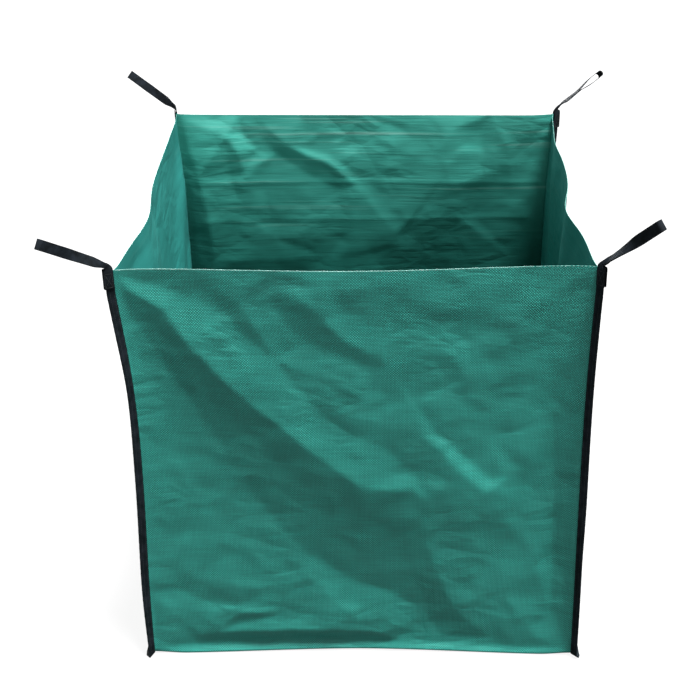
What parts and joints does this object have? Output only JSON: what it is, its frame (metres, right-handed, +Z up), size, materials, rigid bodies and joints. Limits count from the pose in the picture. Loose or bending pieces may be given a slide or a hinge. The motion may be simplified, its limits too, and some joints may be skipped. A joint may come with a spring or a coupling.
{
  "type": "garden waste bag",
  "caption": "Open-topped square bag of woven tape fabric for garden waste, with bound outward seams and a webbing lifting loop at each top corner.",
  "frame": {"origin": "on the floor, under the middle of the base", "axes": "+Z up out of the open top; -Y is the front wall and +Y the back wall, which are one sheet with the base; +X is the right side panel"},
  "size_m": [1.1631, 1.1553, 1.0349],
  "materials": {
    "green_fabric": "matt woven polypropylene tape cloth, coated and a little glossier inside",
    "black_tape": "matt woven binding tape",
    "black_webbing": "matt woven webbing with a faint sheen"
  },
  "bodies": {
    "root": {"front_base_back_sheet": "green_fabric", "left_side_panel": "green_fabric", "right_side_panel": "green_fabric", "left_seam_binding": "black_tape", "right_seam_binding": "black_tape", "front_left_loop": "black_webbing", "front_right_loop": "black_webbing", "back_left_loop": "black_webbing", "back_right_loop": "black_webbing"}
  },
  "joints": []
}
